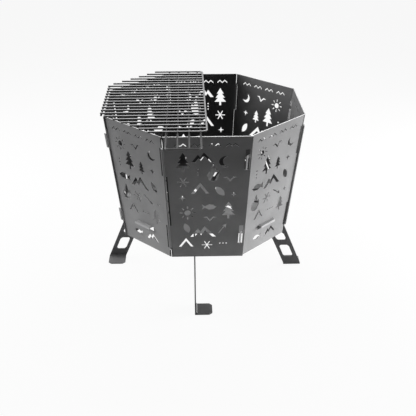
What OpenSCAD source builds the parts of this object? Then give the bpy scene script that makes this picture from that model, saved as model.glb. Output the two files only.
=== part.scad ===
// Folding fire pit: eight tapered sheet panels in four hinged pairs, an ash plate on a
// four-leg slotted stand, and a half grill with a long wire handle. Millimetres, feet on z = 0.

/* [Bowl] */
// Width across the flats at the rim
rim_flats = 420; // [380:1:460]
// Width across the flats at the bottom edge
base_flats = 356; // [320:1:400]
// Height of the panels, straight up
bowl_h = 286; // [240:1:320]
// Panel sheet thickness
sheet = 1.5; // [1:0.1:2]

/* [Hinges] */
// Knuckle radius
knuckle_r = 2.4; // [2.2:0.1:2.6]
// Distance from a panel's face to the hinge axis
axis_off = 1; // [0.9:0.05:1.3]
// Hinge pin radius
pin_r = 1; // [0.9:0.05:1.2]
// Running clearance on the pin
pin_gap = 0.05; // [0.03:0.01:0.1]

/* [Ash plate] */
// Height of the plate's top above the panels' bottom edge
plate_z = 57; // [45:1:70]
// Distance from the middle to the plate's sides
plate_ap = 178; // [170:0.5:180]
// Width of a tongue
tongue_w = 46; // [35:1:55]
// How far a tongue stands out of its panel
tongue_out = 8; // [5:0.5:10]

/* [Stand] */
// Height of the panels' bottom edge above the floor
leg_h = 115; // [90:1:140]
// Leg sheet thickness
leg_t = 2.5; // [2:0.1:3.5]
// Sideways place of a leg's plate
leg_side = 24; // [18:1:30]
// Outer end of a foot
foot_r = 230; // [215:1:250]
// Length of a foot
foot_len = 40; // [32:1:50]
// Width of a foot
foot_w = 36.5; // [28:0.5:42]
// Depth of the crossing arms
arm_h = 44; // [36:1:54]

/* [Grill] */
// Rod diameter
rod_d = 4; // [3:0.5:5]
// Rod spacing
rod_pitch = 18.5; // [16:0.5:22]
// Handle reach in front of the middle
handle_y = 278; // [255:1:300]
// Handle width between its outer wires
handle_w = 67; // [60:1:90]
// Left wire of the handle
handle_l = -77.5; // [-90:0.5:-70]
// Bend radius of the handle's corners
handle_bend = 9; // [5:0.5:10]
// Reach of the two middle wires at the back
rear_tip = 222; // [216:1:240]
// Right edge of the grill
grill_right = 4; // [-10:1:40]

/* [Hidden] */
$fn = 48;
// Puts the middle of the box round everything over the origin
y0 = (handle_y + rod_d / 2 - max(rear_tip, foot_r)) / 2;
ap_t = rim_flats / 2;
ap_b = base_flats / 2;
lean = atan((ap_t - ap_b) / bowl_h);
slant = bowl_h / cos(lean);
wt = rim_flats * tan(22.5);
wb = base_flats * tan(22.5);
slope = (wt - wb) / 2 / slant;
cr_b = ap_b / cos(22.5);
cr_t = ap_t / cos(22.5);
beta = atan((cr_t - cr_b) / bowl_h);
edge_len = bowl_h / cos(beta);
// Half the turn between two leaning panels, seen along their corner
half_turn = acos(cos(45) * cos(lean) * cos(lean) + sin(lean) * sin(lean)) / 2;
axis_out = axis_off / cos(half_turn);
// Gap between pieces that rest on each other
rest_gap = 0.05;
// How far a cutting tool runs past the sheet
past = 1;

// Knuckle bands along a hinge, as shares of its length from the bottom
y_low = [0.08, 0.278];
x_low = [0.28, 0.489];
x_high = [0.491, 0.69];
y_high = [0.692, 0.91];
// Room round a knuckle of the other panel, in a diagonal panel and in a door, and at its ends
clear_x = knuckle_r + 3.1;
clear_y = knuckle_r + 1.5;
band_play = 0.3;
// Strip of sheet that joins a knuckle to its panel: its width, and how far it stops from the knuckle's ends
strip_w = 4;
strip_in = 1.5;
// Pin bores as shares of the hinge, and the pin's grip in the diagonal panel
x_bore = [0.2, 0.8];
y_bore = [0.02, 0.98];
grip_gap = 0.01;
// Pin: how far it runs past the knuckles, and its heads
pin_past = 2;
head_gap = 0.2;
head_h = 2.3;
head_over = 0.75;

// Edge cuts at a hinge and where a diagonal panel meets the next square-on one
cut_hinge = 1.3;
cut_hook = 2.6;
// How far a square-on panel runs past its free corner
free_past = 4.5;
// Hooks along the slant, and the windows that they come through
fin_a = [up(36), up(66)];
fin_b = [up(215), up(247)];
win_a = [up(34), up(79)];
win_b = [up(213), up(259)];
// A hook's finger outside the corner, its root inside it, and the height of its neck
tab_near = 3;
tab_far = 8;
tab_root = 6;
neck_h = 7;
// A window's sides, inside the corner
window_in = [-2, 8];

// A panel hangs on its tongue: play at each side of the tongue, and the height of the slot
tongue_side = 4;
tongue_slot_h = 11;
// Root of a tongue in the plate, and the lip at its end
tongue_root = 5;
lip_h = 3.4;
// Air slots in the plate: width, and the two rings as shares of its half width
air_w = 10;
air_outer = [0.4, 0.8];
air_inner = [0.14, 0.32];

// Clearances of the stand: slot play, and below the panels
slot_play = 0.2;
leg_drop = 2.6;
// A leg at the panels' foot: how far it shows outside them and runs inside them
leg_over = 6.5;
leg_under = 8;
// Shelf under the ash plate: its outer end inside the panels, and its slope as shares of the half width
shelf_in = 10;
shelf_slope = [0.4, 0.6];
// The knee under the bowl, and how far an arm runs past its slots
knee_in = 17;
knee_drop = 45;
knee_run = 30;
arm_past = 12;
// Windows in a leg: heights as shares of the leg, corner height, sides and corners as shares of its width
leg_win_low = [0.19, 0.46];
leg_win_high = [0.575, 0.75];
leg_win_corner = 4;
leg_win_side = [0.22, 0.78];
leg_win_mid = [0.31, 0.69];
// Corner cut of a foot
foot_corner = 9;

// Size of the cut-outs, times their drawn size
art_size = 1.2;

// Weld depth where wires cross
weld = 0.4;
// The grill's middle sits behind the bowl's middle
grill_back = 6.5;
// How far the rods reach past the leaning rim, and the side wire past the left rim
rod_past = 19.5;
side_past = 4;
side_half = 95;
// Distance of the last rod from the rim
rod_edge = 5;
X_AZ = [-135, -45, 45, 135];

// The art and the hooks are drawn on a panel 288 high and 174 wide at the rim
function up(v) = v * slant / 288;
function across(v) = v * wt / 174;
// Half width of a panel at a place on its slant
function ye(z) = wb / 2 + slope * z;

module place(az) translate([0, y0, leg_h]) rotate([0, 0, az]) translate([ap_b, 0, 0])
    rotate([0, lean, 0]) children();

module on_axis(az) translate([0, y0, leg_h]) rotate([0, 0, az + 22.5]) translate([cr_b, 0, 0])
    rotate([0, beta, 0]) translate([axis_out, 0, 0]) children();

// A flat shape drawn across and up the panel, from depth a to depth b
module slab(a, b) translate([a, 0, 0]) rotate([90, 0, 90]) linear_extrude(b - a) children();

// A strip that keeps to the panel's right edge, from lo to hi inside it
module edge_strip(z1, z2, lo, hi) polygon([[ye(z1) - hi, z1], [ye(z1) - lo, z1],
    [ye(z2) - lo, z2], [ye(z2) - hi, z2]]);

module outline(cut_l, cut_r) polygon([[-ye(0) + cut_l, 0], [ye(0) - cut_r, 0],
    [ye(slant) - cut_r, slant], [-ye(slant) + cut_l, slant]]);

// A hook at the panel's left edge: a neck through the next panel's window and a finger that hangs outside it
module hook(f) mirror([1, 0]) {
    low = f[0];
    neck = f[1] - neck_h;
    top = f[1];
    polygon([[ye(top) - tab_root, top], [ye(top) + tab_far, top], [ye(low) + tab_far, low],
        [ye(low) + tab_near, low], [ye(neck) + tab_near, neck], [ye(neck) - tab_root, neck]]);
}

module pine() polygon([[-1.6, -15], [1.6, -15], [1.6, -9], [10, -9], [4, -2], [8, -2], [3, 5], [6, 5],
    [0, 15], [-6, 5], [-3, 5], [-8, -2], [-4, -2], [-10, -9], [-1.6, -9]]);
module peaks() polygon([[-20, -8], [-8, 8], [-4, 2], [2, 12], [20, -8], [14, -8], [3, 4],
    [-3, -5], [-7, 0], [-13, -8]]);
module crescent() difference() {
    circle(10);
    translate([5, 2]) circle(9);
}
module sun() {
    circle(5);
    for (a = [0:45:315]) rotate(a) translate([7.5, -0.9]) square([5, 1.8]);
}
module star() polygon([[0, 8], [1.8, 1.8], [8, 0], [1.8, -1.8], [0, -8], [-1.8, -1.8],
    [-8, 0], [-1.8, 1.8]]);
module leaf() intersection() {
    translate([10, 0]) circle(16);
    translate([-10, 0]) circle(16);
}
module fish() polygon([[-14, 0], [-8, 5], [0, 6], [7, 2], [13, 6], [11, 0], [13, -6], [7, -2],
    [0, -6], [-8, -5]]);
module flame() polygon([[0, 16], [4, 8], [3, 4], [8, 6], [9, -3], [5, -11], [0, -13], [-6, -11],
    [-9, -3], [-6, 4], [-4, 1], [-3, 8]]);
module tent() polygon([[-14, -9], [0, 11], [14, -9], [9, -9], [0, 4], [-9, -9]]);
module arrow() polygon([[-14, -1.2], [7, -1.2], [5, -5], [14, 0], [5, 5], [7, 1.2], [-14, 1.2]]);
module bird() polygon([[-14, 6], [-6, 8], [0, 1], [6, 8], [14, 6], [6, 4], [0, -4], [-6, 4]]);
module flake() for (a = [0, 60, 120]) rotate(a) square([22, 2.2], center = true);
module dots() for (i = [-1, 0, 1]) translate([i * 7, 0]) circle(1.7);
module zigzag() polygon([[-10, -3], [-5, 1.5], [0, -3], [5, 1.5], [10, -3], [10, -0.6], [5, 3.9],
    [0, -0.6], [-5, 3.9], [-10, -0.6]]);

module at(x, y, a, s) translate([across(x), up(y)]) rotate(a)
    scale([s * art_size, s * art_size]) children();

module rim_row() for (x = [-51, -17, 17, 51]) at(x, 269, 0, 1) zigzag();

// Cut-outs of the four diagonal panels
module art_x() {
    rim_row();
    at(-44, 238, 0, 1) sun();
    at(4, 240, 8, 0.9) bird();
    at(50, 236, 20, 0.9) crescent();
    at(-22, 205, 0, 1.25) pine();
    at(14, 198, 0, 0.85) pine();
    at(47, 200, 0, 0.8) star();
    at(-54, 192, 90, 0.9) dots();
    at(-44, 160, 0, 1.1) fish();
    at(2, 158, 0, 1.15) peaks();
    at(46, 162, 30, 0.9) leaf();
    at(-46, 120, 0, 1.15) flame();
    at(-10, 122, 0, 0.95) flake();
    at(24, 125, -35, 0.9) arrow();
    at(52, 122, 0, 0.6) star();
    at(-30, 88, 0, 0.9) tent();
    at(8, 88, 0, 0.95) dots();
    at(42, 90, 0, 1.0) pine();
    at(-24, 28, 0, 0.8) fish();
    at(20, 28, 0, 0.8) peaks();
}

// Cut-outs of the four square-on panels
module art_y() {
    rim_row();
    at(-46, 232, 0, 1.2) pine();
    at(-7, 240, 0, 0.95) peaks();
    at(38, 232, -15, 1.05) crescent();
    at(-16, 208, 90, 0.8) dots();
    at(14, 205, 0, 1.15) flame();
    at(-46, 186, 0, 0.9) flake();
    at(48, 190, 0, 0.85) bird();
    at(-12, 170, 0, 1.1) tent();
    at(28, 164, 40, 0.95) leaf();
    at(56, 156, 0, 0.6) star();
    at(-48, 148, 0, 0.8) star();
    at(-38, 112, 0, 1.1) sun();
    at(6, 126, 180, 0.95) fish();
    at(46, 118, 0, 1.15) pine();
    at(8, 94, 0, 0.9) bird();
    at(-40, 74, 20, 0.85) leaf();
    at(-6, 62, 0, 1.15) peaks();
    at(34, 72, 55, 0.85) arrow();
    at(-42, 36, 0, 0.95) tent();
    at(2, 30, 0, 0.85) flake();
    at(36, 34, 0, 0.8) dots();
}

module along(az, b, r, more) on_axis(az) translate([0, 0, b[0] * edge_len - more])
    cylinder(r = r, h = (b[1] - b[0]) * edge_len + 2 * more);
module band(az, b) along(az, b, knuckle_r, 0);
module band_gap(az, b, r) along(az, b, r, band_play);

// A panel that carries the two middle knuckles, the hooks and the tongue slot
module x_panel(az) color([0.36, 0.36, 0.37]) difference() {
    union() {
        place(az) slab(-sheet, 0) difference() {
            union() {
                outline(cut_hook, cut_hinge);
                edge_strip(x_low[0] * slant + strip_in, x_high[1] * slant - strip_in, 0, strip_w);
                hook(fin_a);
                hook(fin_b);
            }
            art_x();
            translate([-tongue_w / 2 - tongue_side, (plate_z + rest_gap) / cos(lean) - tongue_slot_h])
                square([tongue_w + 2 * tongue_side, tongue_slot_h]);
        }
        band(az, x_low);
        band(az, x_high);
    }
    band_gap(az, y_low, clear_x);
    band_gap(az, y_high, clear_x);
    along(az, x_bore, pin_r + grip_gap, 0);
}

// A panel that swings: the two outer knuckles and the hook windows
module y_panel(az) color([0.3, 0.3, 0.31]) difference() {
    union() {
        place(az) slab(-sheet, 0) difference() {
            union() {
                outline(cut_hinge, -free_past);
                mirror([1, 0]) for (b = [y_low, y_high])
                    edge_strip(b[0] * slant + strip_in, b[1] * slant - strip_in, 0, strip_w);
            }
            art_y();
            for (w = [win_a, win_b]) edge_strip(w[0], w[1], window_in[0], window_in[1]);
        }
        band(az - 45, y_low);
        band(az - 45, y_high);
    }
    band_gap(az - 45, [x_low[0], x_high[1]], clear_y);
    along(az - 45, y_bore, pin_r + pin_gap, 0);
}

module pin_head(z) translate([0, 0, z]) cylinder(r = pin_r + head_over, h = head_h);

module hinge_pins() color([0.55, 0.55, 0.56]) for (az = X_AZ) {
    along(az, [y_low[0], y_high[1]], pin_r, pin_past);
    on_axis(az) pin_head(y_low[0] * edge_len - head_gap - head_h);
    on_axis(az) pin_head(y_high[1] * edge_len + head_gap);
}

tongue_end = ap_b + plate_z * tan(lean) + tongue_out;

module tongue() {
    translate([plate_ap - tongue_root, -tongue_w / 2, 0])
        cube([tongue_end - plate_ap + tongue_root, tongue_w, sheet]);
    translate([tongue_end - sheet, -tongue_w / 2, -lip_h]) cube([sheet, tongue_w, lip_h + sheet]);
}

// A ring of air slots
module air_slots(count, turn, ring) for (i = [0:count - 1]) rotate([0, 0, turn + i * 360 / count])
    translate([plate_ap * ring[0], -air_w / 2, -past])
        cube([plate_ap * (ring[1] - ring[0]), air_w, sheet + 2 * past]);

module ash_plate() color([0.32, 0.32, 0.33]) translate([0, y0, leg_h + plate_z - sheet]) difference() {
    union() {
        rotate([0, 0, 22.5]) cylinder(r = plate_ap / cos(22.5), h = sheet, $fn = 8);
        for (az = X_AZ) rotate([0, 0, az]) tongue();
    }
    air_slots(12, 15, air_outer);
    air_slots(6, 0, air_inner);
}

// One stand plate, drawn as distance from the middle against height above the floor
foot_in = foot_r - foot_len;
arm_top = leg_h + arm_h / 2;
arm_low = leg_h - arm_h / 2;
arm_tip = -leg_side - arm_past;
leg_top = leg_h - leg_drop;
leg_out = ap_b + leg_over;
shelf_z = leg_h + plate_z - sheet;
knee = [ap_b - knee_in, leg_h - knee_drop];

// A point on the leg: share of its width from the inside, at a height
function in_r(z) = knee[0] + (foot_in - knee[0]) * (knee[1] - z) / knee[1];
function out_r(z) = leg_out + (foot_r - leg_out) * (leg_top - z) / leg_top;
function leg_at(share, z) = [in_r(z) + share * (out_r(z) - in_r(z)), z];

module leg_window(share) {
    z1 = leg_h * share[0];
    z2 = leg_h * share[1];
    c = leg_win_corner;
    s = leg_win_side;
    m = leg_win_mid;
    polygon([leg_at(m[0], z1), leg_at(s[0], z1 + c), leg_at(s[0], z2 - c), leg_at(m[0], z2),
        leg_at(m[1], z2), leg_at(s[1], z2 - c), leg_at(s[1], z1 + c), leg_at(m[1], z1)]);
}

module leg_shape() difference() {
    polygon([[foot_r, 0], [foot_r, leg_t], [leg_out, leg_top], [ap_b - leg_under, leg_top],
        [ap_b - shelf_in, shelf_z], [ap_b * shelf_slope[1], shelf_z], [ap_b * shelf_slope[0], arm_top],
        [arm_tip, arm_top], [arm_tip, arm_low], [knee[0] - knee_run, arm_low], knee,
        [foot_in, leg_t], [foot_in, 0]]);
    leg_window(leg_win_high);
    leg_window(leg_win_low);
    translate([leg_side - leg_t / 2 - slot_play, leg_h]) square([leg_t + 2 * slot_play, arm_h]);
    translate([-leg_side - leg_t / 2 - slot_play, leg_h - arm_h]) square([leg_t + 2 * slot_play, arm_h]);
}

module leg(az) color([0.3, 0.3, 0.31]) translate([0, y0, 0]) rotate([0, 0, az]) {
    translate([0, -leg_side + leg_t / 2, 0]) rotate([90, 0, 0]) linear_extrude(leg_t) leg_shape();
    linear_extrude(leg_t) difference() {
        translate([foot_in, -leg_side - leg_t / 2]) square([foot_len, foot_w + leg_t / 2]);
        for (r = [foot_in, foot_r]) translate([r, foot_w - leg_side]) rotate(45)
            square(foot_corner, center = true);
    }
}

// Grill: wire heights, where the rods end and how many there are
zc = leg_h + bowl_h + sheet * sin(lean) + rest_gap + rod_d / 2;
zr = zc + rod_d - weld;
rods_half = round((ap_t - rod_edge) / rod_pitch);
last_rod = rods_half * rod_pitch;
side_x = -ap_t - side_past;
frame_x = grill_right - rod_d / 2;
rear_y = grill_back + last_rod + rod_d;

// Left end of a rod at a distance from the grill's middle
function rod_left(v) = max(side_x - rod_d / 2, abs(v) - ap_t - wt / 2 - rod_past);
function cross_x(i) = handle_l + i * handle_w / 3;

module rod_x(y, z, x1, x2) translate([x1, y, z]) rotate([0, 90, 0]) cylinder(d = rod_d, h = x2 - x1);
module rod_y(x, z, y1, y2) translate([x, y1, z]) rotate([-90, 0, 0]) cylinder(d = rod_d, h = y2 - y1);
module bend(x, y, z, turn) translate([x, y, z]) rotate([0, 0, turn]) rotate_extrude(angle = 90)
    translate([handle_bend, 0]) circle(d = rod_d);

module grill() color([0.12, 0.12, 0.12]) translate([0, y0, 0]) children();

module grill_rods() grill() for (i = [1 - rods_half:rods_half - 1])
    rod_x(grill_back + i * rod_pitch, zr, rod_left(i * rod_pitch), frame_x - rod_d / 2 + weld);

// The last rods and the right side, bent from one wire
module frame_wire() grill() translate([0, grill_back, 0]) {
    for (y = [-last_rod, last_rod]) rod_x(y, zr, rod_left(y), frame_x - handle_bend);
    rod_y(frame_x, zr, handle_bend - last_rod, last_rod - handle_bend);
    bend(frame_x - handle_bend, last_rod - handle_bend, zr, 0);
    bend(frame_x - handle_bend, handle_bend - last_rod, zr, 270);
}

module handle_wire() grill() {
    for (i = [0, 3]) rod_y(cross_x(i), zc, handle_bend - handle_y, rear_y);
    rod_x(-handle_y, zc, cross_x(0) + handle_bend, cross_x(3) - handle_bend);
    bend(cross_x(0) + handle_bend, handle_bend - handle_y, zc, 180);
    bend(cross_x(3) - handle_bend, handle_bend - handle_y, zc, 270);
}

module cross_wire(i) grill() rod_y(cross_x(i), zc, rod_d / 2 - handle_y - weld, rear_tip);
module side_wire() grill() rod_y(side_x, zc, grill_back - side_half, grill_back + side_half);

x_panel(-135);  // panel_fl
x_panel(-45);  // panel_fr
x_panel(45);  // panel_br
x_panel(135);  // panel_bl
y_panel(-90);  // panel_f
y_panel(0);  // panel_r
y_panel(90);  // panel_b
y_panel(180);  // panel_l
hinge_pins();
ash_plate();
leg(-90);  // leg_f
leg(0);  // leg_r
leg(90);  // leg_b
leg(180);  // leg_l
grill_rods();
frame_wire();
handle_wire();
cross_wire(1);  // cross_wire_a
cross_wire(2);  // cross_wire_b
side_wire();
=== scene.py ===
import math

import bpy
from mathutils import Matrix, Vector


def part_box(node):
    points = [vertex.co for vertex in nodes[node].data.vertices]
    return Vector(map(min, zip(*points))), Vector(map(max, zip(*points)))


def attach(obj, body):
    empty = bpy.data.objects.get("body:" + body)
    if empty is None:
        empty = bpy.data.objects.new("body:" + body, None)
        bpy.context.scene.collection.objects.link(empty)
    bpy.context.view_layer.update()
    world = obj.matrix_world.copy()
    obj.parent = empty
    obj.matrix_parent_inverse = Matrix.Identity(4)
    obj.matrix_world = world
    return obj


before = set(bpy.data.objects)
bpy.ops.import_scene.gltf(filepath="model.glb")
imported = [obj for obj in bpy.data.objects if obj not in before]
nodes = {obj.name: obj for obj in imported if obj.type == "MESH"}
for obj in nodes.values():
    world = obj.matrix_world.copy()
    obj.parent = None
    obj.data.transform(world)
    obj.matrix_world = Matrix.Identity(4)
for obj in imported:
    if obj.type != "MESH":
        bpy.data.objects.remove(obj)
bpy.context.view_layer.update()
MM = 0.001

# The bowl, an octagon that widens from its base to its rim
MIDDLE_Y = 25 * MM
PANEL_FOOT = 115 * MM
BOWL_H = 286 * MM
RIM_Z = PANEL_FOOT + BOWL_H
RIM_HALF = 210 * MM
BASE_HALF = 178 * MM
PANEL_TURN = math.radians(45)
CORNER_TURN = PANEL_TURN / 2
PANEL_LEAN = math.atan((RIM_HALF - BASE_HALF) / BOWL_H)
CORNER_LOW = BASE_HALF / math.cos(CORNER_TURN)
CORNER_HIGH = RIM_HALF / math.cos(CORNER_TURN)
CORNER_LEAN = math.atan((CORNER_HIGH - CORNER_LOW) / BOWL_H)
EDGE_LEN = BOWL_H / math.cos(CORNER_LEAN)

# Directions in degrees: the diagonal panels, then the doors and the legs
DIAGONALS = {"fl": -135, "fr": -45, "br": 45, "bl": 135}
SIDES = {"f": -90, "r": 0, "b": 90, "l": 180}

# The hinges. Places along them are shares of a corner's length
AXIS_OFF = 1 * MM
HALF_FOLD = math.acos(math.cos(PANEL_TURN) * math.cos(PANEL_LEAN) ** 2 + math.sin(PANEL_LEAN) ** 2) / 2
AXIS_OUT = AXIS_OFF / math.cos(HALF_FOLD)
HINGE_FOOT = 0.08
HINGE_HEAD = 0.91
PAST_FOOT = -0.01
PAST_RIM = 1.02
DOOR_KNUCKLES = [(HINGE_FOOT, 0.278), (0.692, HINGE_HEAD)]
SIDE_KNUCKLES = [(0.28, 0.69)]

# The domed ends of the hinge pins, just past the hinges
DOME_R = 1.7 * MM
DOME_FLAT = 0.5
DOME_PAST = 2.4 * MM

# The grill, and the weld nuggets between its rods and the wires under them
ROD_PITCH = 18.5 * MM
ROD_COUNT = 23
WIRE_COUNT = 4
HANDLE_LEFT = -77.5 * MM
HANDLE_W = 67 * MM
WIRE_STEP = HANDLE_W / (WIRE_COUNT - 1)
WIRE_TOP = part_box("cross_wire_a")[1].z
ROD_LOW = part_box("grill_rods")[0].z
GRILL_BACK = 6.5 * MM
NUGGET_R = 2.3 * MM
NUGGET_FLAT = 0.55
NUGGET_SKIRT = 0.4 * MM
NUGGET_SPREAD = (1.15, 0.8, 1)

# The feet, and the rounded inside of their bends
LEG_T = 2.5 * MM
LEG_SIDE = 24 * MM
FOOT_OUT = 230 * MM
FOOT_LEN = 40 * MM
BEND_R = 3.5 * MM
BEND_FROM_KNEE = 1 * MM
BEND_FROM_TIP = 2 * MM
BEND_SUNK = 0.1 * MM
BEND_CUT = 0.9
BEND_STEPS = 6
BEND_PROFILE = 0.22
SMOOTH_ANGLE = math.radians(40)

# The coating: cool greys, orange peel, lighter grains, smudges, and bare steel at worn edges
COOL = 1.01
SHINE = 0.12
PEEL_DEPTH = 0.2 * MM
GRAIN_EDGE = (0.32, 0.08)
GRAIN_SHARE = 0.3
GRAIN_LIGHT = 1.7
SMUDGE_EDGE = (0.32, 0.68)
SMUDGE_ROUGH = 0.55
SMUDGE_DARK = 0.9
SMUDGE_LIGHT = 1.06
GLOSS_PLAY = 0.05
WEAR_SAMPLES = 6
WEAR_EDGE = (0.985, 0.86)
WEAR_SCALE = 90
WEAR_PATCH = (0.3, 0.55)
WEAR_LEAST = 0.45
BARE_METAL = 0.85
# The rim's top as bare steel, lighter also as a painted highlight
RIM_BARE_AND_HIGHLIGHT = (RIM_Z - 0.3 * MM, RIM_Z - 0.1 * MM)

# Painted shade: darker towards the rim, inside the bowl, under the rods and along the hinges
SHADE_DARK = 0.1
TOP_SHADE = 0.45
SHADE_BLACK = 0.012
UNDER_SHADE_METAL = 0.1
INSIDE_SHADE_SIDE = (0.14, 0.08)
INSIDE_SHADE_THIN = 0.05
INSIDE_SHADE_HEAVY = 0.86
INSIDE_SHADE_HEIGHT = (0.37, 0.28)
INSIDE_SHADE_DEEP = 0.5
INNER_FACING = (-0.4, -0.6)
UNDER_FACING = (0.65, 0.3)
END_REACH = 4 * MM
DOOR_REACH = 6 * MM
SIDE_REACH = 8.4 * MM
END_GAPS = [(PAST_FOOT, HINGE_FOOT, END_REACH), (HINGE_HEAD, PAST_RIM, END_REACH)]
DOOR_GAPS = END_GAPS + [(low, high, DOOR_REACH) for low, high in SIDE_KNUCKLES]
SIDE_GAPS = END_GAPS + [(low, high, SIDE_REACH) for low, high in DOOR_KNUCKLES]

# Floor, light and camera
FLOOR_SIZE = 16
FLOOR_PLACE = (0, 3, 0)
FLOOR_GLOW = 0.93
FLOOR_COLOUR = (0.7, 0.7, 0.7, 1)
WORLD_FILL = 0.02
WHITE = (1, 1, 1, 1)
BOWL_AIM = (0, 0.05, 0.25)
RIM_AIM = (0, 0, 0.35)
CAMERA_PLACE = (-0.0366, -1.504, 0.9148)
CAMERA_PITCH = math.radians(63.162)
CAMERA_YAW = math.radians(-1.734)
CAMERA_LENS = 63.33
CAMERA_SENSOR = 36


# Small helpers for modelling

def clear():
    """Nothing selected, so that the next operator acts on its own piece alone."""
    bpy.ops.object.select_all(action="DESELECT")


def settle(name):
    """Names the active piece and puts its place, turn and size into its mesh."""
    piece = bpy.context.object
    piece.name = name
    piece.data.name = name
    bpy.ops.object.transform_apply(location=True, rotation=True, scale=True)
    return piece


def join(pieces, name):
    """Several modelled bits made one piece."""
    clear()
    for bit in pieces:
        bit.select_set(True)
    bpy.context.view_layer.objects.active = pieces[0]
    bpy.ops.object.join()
    return settle(name)


def enter_edit(kind, action):
    """Edit mode on the active piece, with all or none of its points or edges selected."""
    bpy.ops.object.mode_set(mode="EDIT")
    bpy.ops.mesh.select_mode(type=kind)
    bpy.ops.mesh.select_all(action=action)


def leave_edit():
    bpy.ops.object.mode_set(mode="OBJECT")


def pick_points(piece, test):
    """Selects points of a piece by their place, and stays in edit mode."""
    enter_edit("VERT", "DESELECT")
    leave_edit()
    for point in piece.data.vertices:
        point.select = test(point.co)
    bpy.ops.object.mode_set(mode="EDIT")


def pick_edges(piece, test):
    """Selects edges of a piece by the place of their middle, and stays in edit mode."""
    enter_edit("EDGE", "DESELECT")
    leave_edit()
    for edge in piece.data.edges:
        first, last = [piece.data.vertices[i].co for i in edge.vertices]
        edge.select = test((first + last) / 2)
    bpy.ops.object.mode_set(mode="EDIT")


def finish_piece(piece, body, material):
    """Shades, colours and carries a modelled piece."""
    clear()
    piece.select_set(True)
    bpy.context.view_layer.objects.active = piece
    bpy.ops.object.shade_smooth_by_angle(angle=SMOOTH_ANGLE)
    piece.data.materials.clear()
    piece.data.materials.append(material)
    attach(piece, body)


# Small helpers for materials

VECTOR = "NodeSocketVector"
NUMBER = "NodeSocketFloat"
# Places of a Mix node's colour sockets, which share their names with its other sockets
MIX_LOW = 6
MIX_HIGH = 7
MIX_RESULT = 2


def add(tree, kind, **values):
    """A new node with its properties set."""
    node = tree.nodes.new(kind)
    for key, value in values.items():
        setattr(node, key, value)
    return node


def feed(tree, socket, value):
    """Links a socket to another one, or sets it where the value is plain."""
    if isinstance(value, bpy.types.NodeSocket):
        tree.links.new(value, socket)
    else:
        socket.default_value = value


def new_group(name, inputs, outputs):
    """An empty effect, with its named inputs and outputs."""
    group = bpy.data.node_groups.new(name, "ShaderNodeTree")
    for way, sockets in (("INPUT", inputs), ("OUTPUT", outputs)):
        for label, kind in sockets.items():
            group.interface.new_socket(label, in_out=way, socket_type=kind)
    start = add(group, "NodeGroupInput").outputs
    end = add(group, "NodeGroupOutput").inputs
    return group, start, end


def place_group(tree, group, **values):
    """An effect placed in a material with its own values."""
    node = add(tree, "ShaderNodeGroup", node_tree=group)
    for label, value in values.items():
        feed(tree, node.inputs[label], value)
    return node.outputs


def number_math(tree, operation, *ends):
    """One sum on numbers, each a socket or plain."""
    node = add(tree, "ShaderNodeMath", operation=operation)
    for socket, end in zip(node.inputs, ends):
        feed(tree, socket, end)
    return node.outputs["Value"]


def vector_math(tree, operation, *ends):
    """One sum on vectors, each a socket or plain."""
    node = add(tree, "ShaderNodeVectorMath", operation=operation)
    for socket, end in zip(node.inputs, ends):
        feed(tree, socket, end)
    return node.outputs["Value" if operation in ("DOT_PRODUCT", "LENGTH") else "Vector"]


def larger(tree, first, second):
    return number_math(tree, "MAXIMUM", first, second)


def product(tree, first, second):
    return number_math(tree, "MULTIPLY", first, second)


def spread(tree, value, span, low=0.0, high=1.0, smooth=False):
    """A value that goes from low to high as another goes over a span."""
    node = add(tree, "ShaderNodeMapRange", interpolation_type="SMOOTHSTEP" if smooth else "LINEAR")
    node.inputs["From Min"].default_value = span[0]
    node.inputs["From Max"].default_value = span[1]
    node.inputs["To Min"].default_value = low
    node.inputs["To Max"].default_value = high
    feed(tree, node.inputs["Value"], value)
    return node.outputs["Result"]


def between(tree, mask, low, high):
    """A mask from 0 to 1 spread between two values."""
    return spread(tree, mask, (0, 1), low, high)


def part_of(tree, vector, axis):
    """A vector's X, Y or Z."""
    split = add(tree, "ShaderNodeSeparateXYZ")
    feed(tree, split.inputs["Vector"], vector)
    return split.outputs[axis]


def noise(tree, vector, scale, detail, rough=0.5):
    node = add(tree, "ShaderNodeTexNoise")
    feed(tree, node.inputs["Vector"], vector)
    feed(tree, node.inputs["Scale"], scale)
    node.inputs["Detail"].default_value = detail
    node.inputs["Roughness"].default_value = rough
    return node.outputs["Fac"]


def grey(value):
    return (value, value, value * COOL, 1)


def mix_colour(tree, mask, low, high):
    """Colour that goes from low to high with a mask."""
    mix = add(tree, "ShaderNodeMix", data_type="RGBA", blend_type="MIX")
    feed(tree, mix.inputs[0], mask)
    feed(tree, mix.inputs[MIX_LOW], low)
    feed(tree, mix.inputs[MIX_HIGH], high)
    return mix.outputs[MIX_RESULT]


# Effects that the finishes share

def wear_group():
    """Mask of edges where the coating is thin and the steel shows, broken up by a noise."""
    group, start, end = new_group(
        "edge_wear",
        {"Vector": VECTOR, "Radius": NUMBER, "Amount": NUMBER},
        {"Mask": NUMBER})
    bevel = add(group, "ShaderNodeBevel", samples=WEAR_SAMPLES)
    feed(group, bevel.inputs["Radius"], start["Radius"])
    normal = add(group, "ShaderNodeNewGeometry").outputs["Normal"]
    flatness = vector_math(group, "DOT_PRODUCT", bevel.outputs["Normal"], normal)
    edge = spread(group, flatness, WEAR_EDGE, smooth=True)
    patch = spread(group, noise(group, start["Vector"], WEAR_SCALE, detail=4), WEAR_PATCH, WEAR_LEAST)
    feed(group, end["Mask"], product(group, product(group, edge, patch), start["Amount"]))
    return group


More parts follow.
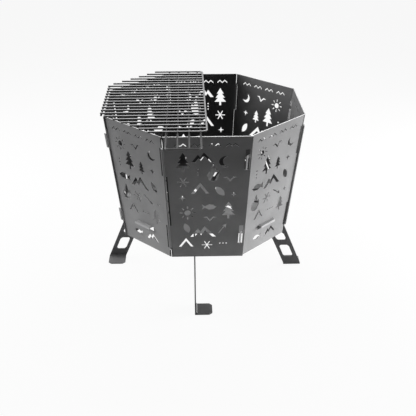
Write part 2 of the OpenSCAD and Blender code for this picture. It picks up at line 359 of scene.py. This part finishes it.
def coat_group():
    """Baked-on coating: fine orange peel, a speckle of lighter grains and broad smudges."""
    group, start, end = new_group(
        "baked_coating",
        {"Vector": VECTOR, "Peel": NUMBER, "Smudge": NUMBER},
        {"Height": NUMBER, "Speckle": NUMBER, "Smudge": NUMBER})
    feed(group, end["Height"], noise(group, start["Vector"], start["Peel"], detail=2))
    grains = add(group, "ShaderNodeTexVoronoi")
    feed(group, grains.inputs["Vector"], start["Vector"])
    feed(group, grains.inputs["Scale"], start["Peel"])
    feed(group, end["Speckle"], spread(group, grains.outputs["Distance"], GRAIN_EDGE))
    broad = noise(group, start["Vector"], start["Smudge"], detail=5, rough=SMUDGE_ROUGH)
    feed(group, end["Smudge"], spread(group, broad, SMUDGE_EDGE, smooth=True))
    return group


def hinge_group():
    """Painted shade along one hinge's gap: near the axis, between two places along it."""
    group, start, end = new_group(
        "hinge_gap_shade",
        {"Vector": VECTOR, "Foot": VECTOR, "Way": VECTOR, "Reach": NUMBER, "Low": NUMBER, "High": NUMBER},
        {"Mask": NUMBER})
    from_foot = vector_math(group, "SUBTRACT", start["Vector"], start["Foot"])
    across = vector_math(group, "CROSS_PRODUCT", from_foot, start["Way"])
    along = vector_math(group, "DOT_PRODUCT", from_foot, start["Way"])
    near = number_math(group, "LESS_THAN", vector_math(group, "LENGTH", across), start["Reach"])
    above = number_math(group, "GREATER_THAN", along, start["Low"])
    below = number_math(group, "LESS_THAN", along, start["High"])
    feed(group, end["Mask"], product(group, near, product(group, above, below)))
    return group


WEAR = wear_group()
COAT = coat_group()
HINGE = hinge_group()


def axis_point(azimuth, along):
    """A place on the leaning hinge axis at the right edge of a diagonal panel."""
    turn = math.radians(azimuth) + CORNER_TURN
    out = CORNER_LOW + AXIS_OUT * math.cos(CORNER_LEAN) + along * math.sin(CORNER_LEAN)
    up = along * math.cos(CORNER_LEAN) - AXIS_OUT * math.sin(CORNER_LEAN)
    return (out * math.cos(turn), out * math.sin(turn) + MIDDLE_Y, PANEL_FOOT + up)


def hinge_gap_shade(tree, place, gaps):
    """Painted shade along the gaps of all four hinges, each from one share to another and with its reach.
    """
    mask = None
    for azimuth in DIAGONALS.values():
        foot = axis_point(azimuth, 0)
        way = [b - a for a, b in zip(foot, axis_point(azimuth, 1))]
        for low, high, reach in gaps:
            gap = place_group(tree, HINGE, Vector=place, Foot=foot, Way=way, Reach=reach,
                              Low=low * EDGE_LEN, High=high * EDGE_LEN)
            mask = larger(tree, mask, gap["Mask"]) if mask else gap["Mask"]
    return mask


def own_normal(tree):
    """The surface's direction in the piece's own frame, so that it turns with a posed piece."""
    facing = add(tree, "ShaderNodeVectorTransform", vector_type="NORMAL", convert_from="WORLD",
                 convert_to="OBJECT")
    feed(tree, facing.inputs["Vector"], add(tree, "ShaderNodeNewGeometry").outputs["Normal"])
    return facing.outputs["Vector"]


def inner_mask(tree, place):
    """Mask that is 1 on faces turned to the middle of the bowl."""
    from_middle = vector_math(tree, "SUBTRACT", place, (0, MIDDLE_Y, 0))
    level = vector_math(tree, "MULTIPLY", from_middle, (1, 1, 0))
    outward = vector_math(tree, "NORMALIZE", level)
    return spread(tree, vector_math(tree, "DOT_PRODUCT", own_normal(tree), outward), INNER_FACING)


def under_mask(tree):
    """Mask that is 1 on faces turned sideways or down."""
    return spread(tree, part_of(tree, own_normal(tree), "Z"), UNDER_FACING, smooth=True)


def inside_shade(tree, place):
    """Painted shade inside the bowl: heavy under the grill and low down, thin high on the open side."""
    side = spread(tree, part_of(tree, place, "X"), INSIDE_SHADE_SIDE, INSIDE_SHADE_THIN, INSIDE_SHADE_HEAVY, smooth=True)
    low = spread(tree, part_of(tree, place, "Z"), INSIDE_SHADE_HEIGHT, 0, INSIDE_SHADE_DEEP, smooth=True)
    return larger(tree, side, low)


def bowl_shade_and_rim(tree, place, base, gaps, colour, bare):
    """A panel's colour and mask of bare steel, with painted shade towards the rim, inside the bowl and
    along the hinges, and its bare rim, lighter also as a painted highlight.
    """
    height = part_of(tree, place, "Z")
    # Painted shade: the panels get darker towards the rim
    rise = spread(tree, height, (PANEL_FOOT, RIM_Z), 0, TOP_SHADE)
    colour = mix_colour(tree, rise, colour, grey(base * SHADE_DARK))
    # Painted shade on the faces turned to the middle of the bowl
    inside = product(tree, inner_mask(tree, place), inside_shade(tree, place))
    colour = mix_colour(tree, inside, colour, grey(base * SHADE_DARK))
    # Painted shade: near-black along the hinge gaps, with no bare steel there
    gap_shade = hinge_gap_shade(tree, place, gaps)
    colour = mix_colour(tree, gap_shade, colour, grey(SHADE_BLACK))
    bare = product(tree, bare, between(tree, gap_shade, 1, 0))
    # The rim's top as bare steel, lighter also as a painted highlight
    return colour, larger(tree, bare, spread(tree, height, RIM_BARE_AND_HIGHLIGHT))


def coated(name, base, rough, metal=0.0, worn=None, wear=1.0, radius=0.8 * MM, peel=900, smudge=14,
           bump=0.06, gaps=None, under=False):
    """Coated steel of a base grey. Where its edges wear, worn is the grey of the steel that shows."""
    material = bpy.data.materials.new(name)
    material.use_nodes = True
    tree = material.node_tree
    shader = tree.nodes["Principled BSDF"]
    place = add(tree, "ShaderNodeTexCoord").outputs["Object"]
    coat = place_group(tree, COAT, Vector=place, Peel=peel, Smudge=smudge)
    broad = mix_colour(tree, coat["Smudge"], grey(base * SMUDGE_DARK), grey(base * SMUDGE_LIGHT))
    speckle = between(tree, coat["Speckle"], 0, GRAIN_SHARE)
    colour = mix_colour(tree, speckle, broad, grey(base * GRAIN_LIGHT))
    if worn:
        bare = place_group(tree, WEAR, Vector=place, Radius=radius, Amount=wear)["Mask"]
        if gaps:
            colour, bare = bowl_shade_and_rim(tree, place, base, gaps, colour, bare)
        colour = mix_colour(tree, bare, colour, grey(worn))
        metal = between(tree, bare, metal, BARE_METAL)
    if under:
        # Painted shade: faces turned sideways or down get a near-black colour and less metal
        below = under_mask(tree)
        colour = mix_colour(tree, below, colour, grey(SHADE_BLACK))
        metal = product(tree, metal, between(tree, below, 1, UNDER_SHADE_METAL))
    relief = add(tree, "ShaderNodeBump")
    relief.inputs["Strength"].default_value = bump
    relief.inputs["Distance"].default_value = PEEL_DEPTH
    feed(tree, relief.inputs["Height"], coat["Height"])
    gloss = between(tree, coat["Smudge"], rough + GLOSS_PLAY, rough - GLOSS_PLAY)
    feed(tree, shader.inputs["Base Color"], colour)
    feed(tree, shader.inputs["Roughness"], gloss)
    feed(tree, shader.inputs["Metallic"], metal)
    feed(tree, shader.inputs["Normal"], relief.outputs["Normal"])
    shader.inputs["Specular IOR Level"].default_value = SHINE
    return material


# Finishes, and the pieces of the frame that they go on
PANEL = {"base": 0.32, "rough": 0.45, "worn": 0.6, "wear": 0.35, "radius": 0.6 * MM}
SIDE_PANEL = coated("panel_coating", gaps=SIDE_GAPS, **PANEL)
DOOR_PANEL = coated("door_coating", gaps=DOOR_GAPS, **PANEL)
LEG = coated("leg_coating", base=0.15, rough=0.45)
PLATE = coated("plate_coating", base=0.5, rough=0.5, worn=0.6, wear=0.5, smudge=22)
PIN = coated("pin_steel", base=0.42, rough=0.34, metal=0.9, worn=0.7, bump=0.03)
GRILL = coated("grill_coating", base=0.29, rough=0.3, metal=0.9, peel=1400, under=True)
# Painted shade: the handle and the cross wires under the rods get a darker copy of the grill's steel
SHADED_WIRE = coated("handle_coating", base=0.07, rough=0.42, metal=0.5, peel=1400)

FINISHES = {"hinge_pins": PIN, "ash_plate": PLATE, "grill_rods": GRILL, "frame_wire": GRILL,
            "side_wire": GRILL, "handle_wire": SHADED_WIRE, "cross_wire_a": SHADED_WIRE, "cross_wire_b": SHADED_WIRE}
for label in DIAGONALS:
    FINISHES["panel_" + label] = SIDE_PANEL
for label in SIDES:
    FINISHES["panel_" + label] = DOOR_PANEL
    FINISHES["leg_" + label] = LEG
for label, finish in FINISHES.items():
    nodes[label].data.materials.clear()
    nodes[label].data.materials.append(finish)


# Weld nuggets where the grill's rods cross the wires under them

def weld_nuggets():
    """One flattened nugget with a wider skirt, repeated along the rods and the wires."""
    clear()
    contact = (WIRE_TOP + ROD_LOW) / 2
    first_rod = MIDDLE_Y + GRILL_BACK - (ROD_COUNT - 1) / 2 * ROD_PITCH
    middle = (HANDLE_LEFT, first_rod, contact)
    bpy.ops.mesh.primitive_uv_sphere_add(segments=10, ring_count=6, radius=NUGGET_R, location=middle)
    nugget = settle("grill_welds")
    enter_edit("VERT", "SELECT")
    bpy.ops.transform.resize(value=(1, 1, NUGGET_FLAT), center_override=middle)
    leave_edit()
    pick_points(nugget, lambda co: co.z < contact - NUGGET_SKIRT)
    bpy.ops.transform.resize(value=NUGGET_SPREAD, center_override=middle)
    leave_edit()
    rows = {"rods": (ROD_COUNT, (0, ROD_PITCH, 0)), "wires": (WIRE_COUNT, (WIRE_STEP, 0, 0))}
    for label, (count, step) in rows.items():
        row = nugget.modifiers.new(label, "ARRAY")
        row.count = count
        row.use_relative_offset = False
        row.use_constant_offset = True
        row.constant_offset_displace = step
        bpy.ops.object.modifier_apply(modifier=label)
    finish_piece(nugget, "grill", GRILL)


weld_nuggets()


# Peened heads on the hinge pins

def pin_head(azimuth, upper):
    """A flattened dome on the upper or lower end of the pin beside a diagonal panel."""
    clear()
    bpy.ops.mesh.primitive_uv_sphere_add(segments=20, ring_count=12, radius=DOME_R)
    head = bpy.context.object
    enter_edit("VERT", "SELECT")
    bpy.ops.mesh.bisect(plane_co=(0, 0, 0), plane_no=(0, 0, 1), clear_inner=True, use_fill=True)
    bpy.ops.mesh.select_all(action="SELECT")
    bpy.ops.transform.resize(value=(1, 1, DOME_FLAT), center_override=(0, 0, 0))
    leave_edit()
    if upper:
        along = HINGE_HEAD * EDGE_LEN + DOME_PAST
        lean = CORNER_LEAN
    else:
        along = HINGE_FOOT * EDGE_LEN - DOME_PAST
        lean = CORNER_LEAN + math.pi
    head.rotation_euler = (0, lean, math.radians(azimuth) + CORNER_TURN)
    head.location = axis_point(azimuth, along)
    return head


heads = [pin_head(azimuth, upper) for azimuth in DIAGONALS.values() for upper in (False, True)]
finish_piece(join(heads, "pin_heads"), "bowl", PIN)


# The rounded inside of each foot's bend

def foot_bend(name, azimuth):
    """A bar in the corner of a foot, hollowed on the side that shows."""
    clear()
    start = FOOT_OUT - FOOT_LEN + BEND_FROM_KNEE
    end = FOOT_OUT - BEND_FROM_TIP
    across = -LEG_SIDE + LEG_T / 2 + BEND_R / 2 - BEND_SUNK
    up = LEG_T + BEND_R / 2 - BEND_SUNK
    bpy.ops.mesh.primitive_cube_add(size=1)
    bar = bpy.context.object
    bar.scale = (end - start, BEND_R, BEND_R)
    bar.location = ((start + end) / 2, across, up)
    bpy.ops.object.transform_apply(location=True, rotation=True, scale=True)
    pick_edges(bar, lambda co: min(co.y - across, co.z - up) > BEND_R / 4)
    bpy.ops.mesh.bevel(offset=BEND_R * BEND_CUT, offset_type="OFFSET", segments=BEND_STEPS,
                       profile=BEND_PROFILE)
    leave_edit()
    bar.rotation_euler = (0, 0, math.radians(azimuth))
    bar.location = (0, MIDDLE_Y, 0)
    finish_piece(settle("foot_bend_" + name), "stand", LEG)


for label, azimuth in SIDES.items():
    foot_bend(label, azimuth)


# A plain pale studio

def seen_rays(tree):
    """1 for what the camera sees, also in gloss and through glass."""
    path = add(tree, "ShaderNodeLightPath").outputs
    direct = larger(tree, path["Is Camera Ray"], path["Is Glossy Ray"])
    return larger(tree, direct, path["Is Transmission Ray"])


def studio_floor():
    """A matt floor that glows for the camera, and keeps the object's shadow."""
    clear()
    bpy.ops.mesh.primitive_plane_add(size=FLOOR_SIZE, location=FLOOR_PLACE)
    floor = settle("studio_floor")
    material = bpy.data.materials.new("studio_floor")
    material.use_nodes = True
    tree = material.node_tree
    tree.nodes.clear()
    matt = add(tree, "ShaderNodeBsdfDiffuse")
    matt.inputs["Color"].default_value = FLOOR_COLOUR
    glow = add(tree, "ShaderNodeEmission")
    mix = add(tree, "ShaderNodeMixShader")
    feed(tree, mix.inputs["Fac"], product(tree, seen_rays(tree), FLOOR_GLOW))
    feed(tree, mix.inputs[1], matt.outputs["BSDF"])
    feed(tree, mix.inputs[2], glow.outputs["Emission"])
    out = add(tree, "ShaderNodeOutputMaterial")
    feed(tree, out.inputs["Surface"], mix.outputs["Shader"])
    floor.data.materials.append(material)


def studio_world():
    """White to the camera, with a weak fill on the object."""
    world = bpy.data.worlds.new("studio")
    bpy.context.scene.world = world
    world.use_nodes = True
    tree = world.node_tree
    tint = mix_colour(tree, seen_rays(tree), grey(WORLD_FILL), WHITE)
    feed(tree, tree.nodes["Background"].inputs["Color"], tint)


def softbox(name, place, aim, size, watts):
    """A rectangular lamp that faces its aim."""
    clear()
    bpy.ops.object.light_add(type="AREA", location=place)
    lamp = bpy.context.object
    lamp.name = name
    lamp.data.shape = "RECTANGLE"
    lamp.data.size = size[0]
    lamp.data.size_y = size[1]
    lamp.data.energy = watts
    way = [a - b for a, b in zip(aim, place)]
    level = math.hypot(way[0], way[1])
    lamp.rotation_euler = (math.atan2(level, -way[2]), 0, math.atan2(-way[0], way[1]))


def studio_camera():
    """The photo's viewpoint."""
    clear()
    bpy.ops.object.camera_add(location=CAMERA_PLACE, rotation=(CAMERA_PITCH, 0, CAMERA_YAW))
    camera = bpy.context.object
    camera.data.lens = CAMERA_LENS
    camera.data.sensor_width = CAMERA_SENSOR
    camera.data.sensor_fit = "HORIZONTAL"
    bpy.context.scene.camera = camera


studio_floor()
studio_world()
softbox("right_softbox", place=(1.35, 0.2, 0.35), aim=BOWL_AIM, size=(1.1, 0.5), watts=37)
softbox("left_softbox", place=(-1.35, 0.35, 0.75), aim=BOWL_AIM, size=(1.1, 0.8), watts=23)
softbox("top_softbox", place=(0, 0.8, 1.5), aim=RIM_AIM, size=(1.2, 0.8), watts=10)
studio_camera()
bpy.context.scene.view_settings.view_transform = "Standard"
